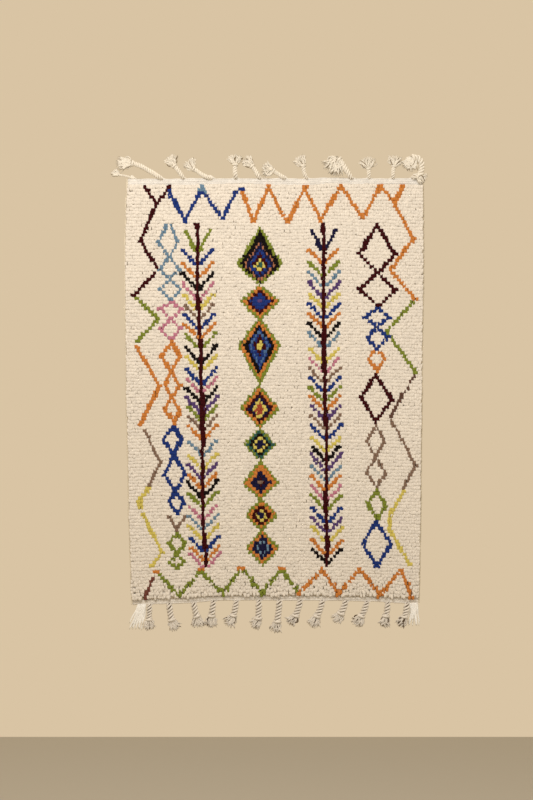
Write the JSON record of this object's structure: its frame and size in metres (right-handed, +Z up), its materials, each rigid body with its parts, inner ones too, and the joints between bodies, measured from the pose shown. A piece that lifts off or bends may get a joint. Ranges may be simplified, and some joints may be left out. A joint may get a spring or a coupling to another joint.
{
  "type": "azilal rug",
  "caption": "Flat hand-knotted wool rug hung face on, with rows of short pile, zigzag, fishbone and lozenge motifs, woven end bands, twisted tassels and corded side edges.",
  "frame": {"origin": "middle of the top edge of the top end band, on the plane that the flat back lies on", "axes": "+Z up along the warps, +X to the right seen from the front, +Y into the wall, so the pile faces -Y"},
  "size_m": [1.0767, 0.0203, 1.6484],
  "materials": {
    "pile_wool": "matte hand-spun wool pile",
    "selvedge_wool": "matte overcast wool cord",
    "fringe_wool": "matte plied wool warp",
    "dyed_wool": "matte dyed wool pile in many colours"
  },
  "bodies": {
    "root": {"pile_field": "pile_wool", "selvedge_left": "selvedge_wool", "selvedge_right": "selvedge_wool", "top_fringe": "fringe_wool", "bottom_fringe": "fringe_wool"}
  },
  "joints": []
}
